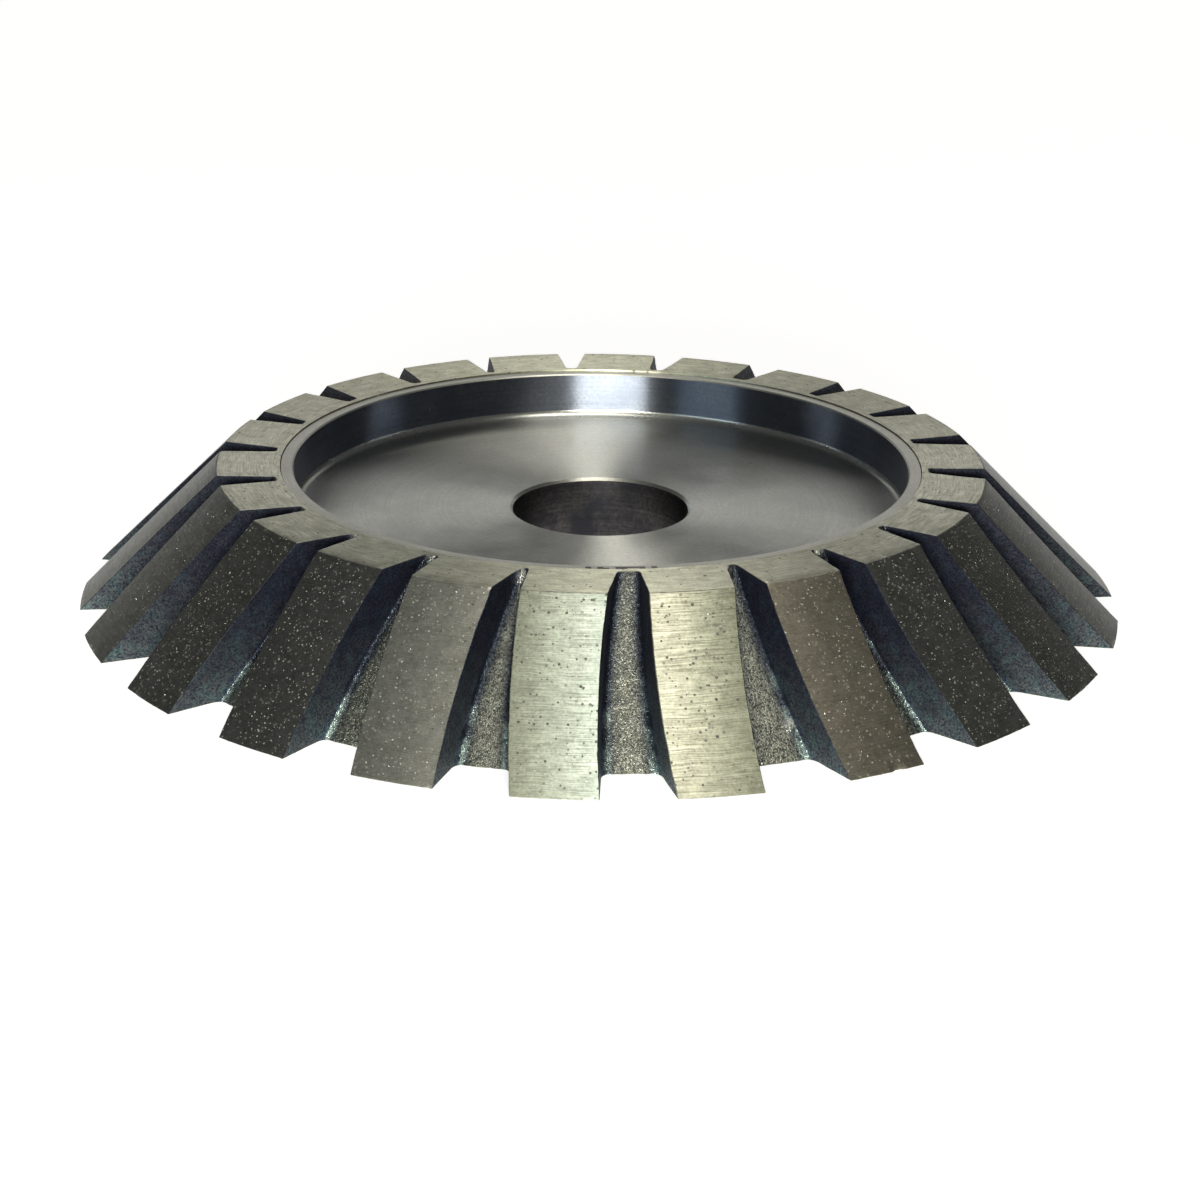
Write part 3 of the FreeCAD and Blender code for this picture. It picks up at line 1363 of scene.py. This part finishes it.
@dataclass
class GritScatter:
    """Diamond crystals that the grinding has exposed on the teeth's bevel."""

    sizes: WheelSizes
    crown: DiamondCrown
    per_tooth: int = 340
    smallest: float = 0.035
    largest: float = 0.14
    smallness: float = 2.2
    stretch: Span = (0.75, 1.15)
    sunk: Span = (0.35, 0.7)
    margin: float = 0.5
    seed: int = 22

    def crystal(self, mesh: MeshPiece, centre: Vector, radius: float, chance: random.Random) -> None:
        """Adds one crystal, an octahedron that is turned and stretched at random.

        Args:
            mesh: The mesh that it joins.
            centre: Its middle.
            radius: The distance from there to its tips.
            chance: Where the random numbers come from.
        """
        turn = Euler([chance.uniform(0, math.tau) for _ in range(3)]).to_matrix()
        stretch = Vector([chance.uniform(*self.stretch) for _ in range(3)])
        start = len(mesh.points)
        for tip in ((1, 0, 0), (-1, 0, 0), (0, 1, 0), (0, -1, 0), (0, 0, 1), (0, 0, -1)):
            point = turn @ Vector([a * b for a, b in zip(tip, stretch)])
            mesh.point(centre + point * radius)
        for x in (0, 1):
            for y in (2, 3):
                for z in (4, 5):
                    corners = [start + x, start + y, start + z]
                    if (x + y + z) % 2:
                        corners.reverse()
                    mesh.face(corners, Zone.GRIT)

    def build(self) -> bpy.types.Object:
        """Scatters the crystals over every tooth.

        Returns:
            The object that holds them all.
        """
        chance = random.Random(self.seed)
        mesh = MeshPiece("bared_grit", (Zone.GRIT,))
        sizes = self.sizes
        half = self.crown.tooth_width / 2 - self.margin
        for tooth in range(sizes.tooth_count):
            for _ in range(self.per_tooth):
                across = chance.uniform(-half, half)
                level = chance.uniform(2 * self.margin, sizes.height - self.margin)
                radius = self.smallest + (self.largest - self.smallest) * chance.random() ** self.smallness
                edge, _ = self.crown.flank(tooth, 1, level, sizes.tooth_height)
                across += edge - self.crown.tooth_width / 2
                depth = radius * chance.uniform(*self.sunk) * math.sqrt(0.5)
                out = math.sqrt(sizes.bevel_radius(level) ** 2 - across**2)
                angle, distance = self.crown.polar(tooth, Column(across, out, Zone.GROUND_BEVEL))
                self.crystal(mesh, sizes.around(angle, distance - depth, level - depth), radius, chance)
        piece = mesh.finish(sharp=None)
        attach(piece, BODY)
        return piece


@dataclass(frozen=True)
class Lamp:
    """A soft square lamp, placed by where it stands as seen from the wheel, with its lengths in metres."""

    name: str
    direction: float
    elevation: float
    distance: float
    width: float
    depth: float
    power: float
    colour: Colour

    def build(self, aim: Vector) -> bpy.types.Object:
        """Makes the lamp and points it.

        Args:
            aim: The point it shines at, in metres.

        Returns:
            The lamp's object.
        """
        data = bpy.data.lights.new(self.name, "AREA")
        data.shape = "RECTANGLE"
        data.size = self.width
        data.size_y = self.depth
        data.energy = self.power
        data.color = self.colour
        turn = math.radians(self.direction)
        rise = math.radians(self.elevation)
        back = Vector((math.sin(turn) * math.cos(rise), -math.cos(turn) * math.cos(rise), math.sin(rise)))
        lamp = placed(self.name, data)
        lamp.location = aim + back * self.distance
        lamp.rotation_euler = (-back).to_track_quat("-Z", "Y").to_euler()
        return lamp


@dataclass
class Studio:
    """The floor, the lamps, the room's light and the camera, with lengths in metres and turns in degrees."""

    sizes: WheelSizes
    camera_turn: float = 4.371
    camera_yaw: float = -0.034
    camera_distance: float = 0.4291
    camera_height: float = 0.15927
    camera_dip: float = 20.548
    camera_roll: float = 0.806
    camera_sight: Span = (0.01, 50.0)
    lens: float = 93.94
    sensor: float = 36.0
    shift_x: float = 0.0022
    room_light: float = 0.08
    room_colour: Colour = (0.95, 0.98, 1.0)
    floor_half: float = 6.0
    lamps: tuple[Lamp, ...] = (
        Lamp("overhead_softbox", 22.0, 70.0, 1.1, 0.5, 0.6, 4.6, (1.0, 0.97, 0.88)),
        Lamp("back_strip", 179.2, 52.0, 0.9, 0.11, 0.45, 0.44, (1.0, 0.98, 0.90)),
        Lamp("front_card", 1.3, 8.0, 1.2, 0.56, 0.25, 17.5, (1.0, 1.0, 0.90)),
        Lamp("side_card", -38.0, 10.0, 1.2, 0.5, 0.25, 1.3, (0.75, 0.92, 1.0)),
        Lamp("back_panel", 184.0, 20.0, 1.3, 1.5, 0.6, 1.6, (1.0, 0.99, 0.96)),
    )

    def make_camera(self) -> bpy.types.Object:
        """Sets the camera where the photograph was taken from.

        Returns:
            The camera's object.
        """
        data = bpy.data.cameras.new("wheel_camera")
        data.sensor_width = self.sensor
        data.lens = self.lens
        data.shift_x = self.shift_x
        data.clip_start, data.clip_end = self.camera_sight
        camera = placed("wheel_camera", data)
        turn = Matrix.Rotation(math.radians(self.camera_turn), 4, "Z")
        yaw = Matrix.Rotation(-math.radians(self.camera_yaw), 4, "Z")
        dip = Matrix.Rotation(math.radians(90 - self.camera_dip), 4, "X")
        roll = Matrix.Rotation(math.radians(self.camera_roll), 4, "Z")
        place = Matrix.Translation((0.0, -self.camera_distance, self.camera_height))
        camera.matrix_world = turn @ place @ yaw @ dip @ roll
        bpy.context.scene.camera = camera
        return camera

    def make_room(self) -> None:
        """Gives the room an even, dim light."""
        world = bpy.data.worlds.new("studio_room")
        world.use_nodes = True
        background = world.node_tree.nodes["Background"]
        background.inputs["Color"].default_value = (*self.room_colour, 1.0)
        background.inputs["Strength"].default_value = self.room_light
        bpy.context.scene.world = world

    def make_floor(self) -> bpy.types.Object:
        """Lays the pale floor under the wheel.

        Returns:
            The floor's object.
        """
        mesh = bpy.data.meshes.new("studio_floor")
        half = self.floor_half
        corners = [(-half, -half, 0.0), (half, -half, 0.0), (half, half, 0.0), (-half, half, 0.0)]
        mesh.from_pydata(corners, [], [(0, 1, 2, 3)])
        mesh.materials.append(Backing().build())
        floor = placed("studio_floor", mesh)
        return floor

    def build(self) -> None:
        """Sets up the whole studio."""
        self.make_camera()
        self.make_room()
        self.make_floor()
        aim = Vector((0.0, 0.0, self.sizes.height * MM / 2))
        for lamp in self.lamps:
            lamp.build(aim)
        bpy.context.scene.view_settings.view_transform = "Standard"


def main() -> None:
    """Builds the wheel's pieces and the studio, in order."""
    logging.basicConfig(level=logging.INFO, format="%(name)s: %(message)s")
    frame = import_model()
    for zone, finish in FINISHES.items():
        MATERIALS[zone] = finish.build()
    sizes = WheelSizes.from_frame(frame)
    LOG.info("sizes %s", sizes)

    crown = DiamondCrown(sizes)
    for builder in (SteelCore(sizes), crown, GritScatter(sizes, crown)):
        piece = builder.build()
        LOG.info("%s: %d faces", piece.name, len(piece.data.polygons))
    Studio(sizes).build()


if __name__ == "__main__":
    main()
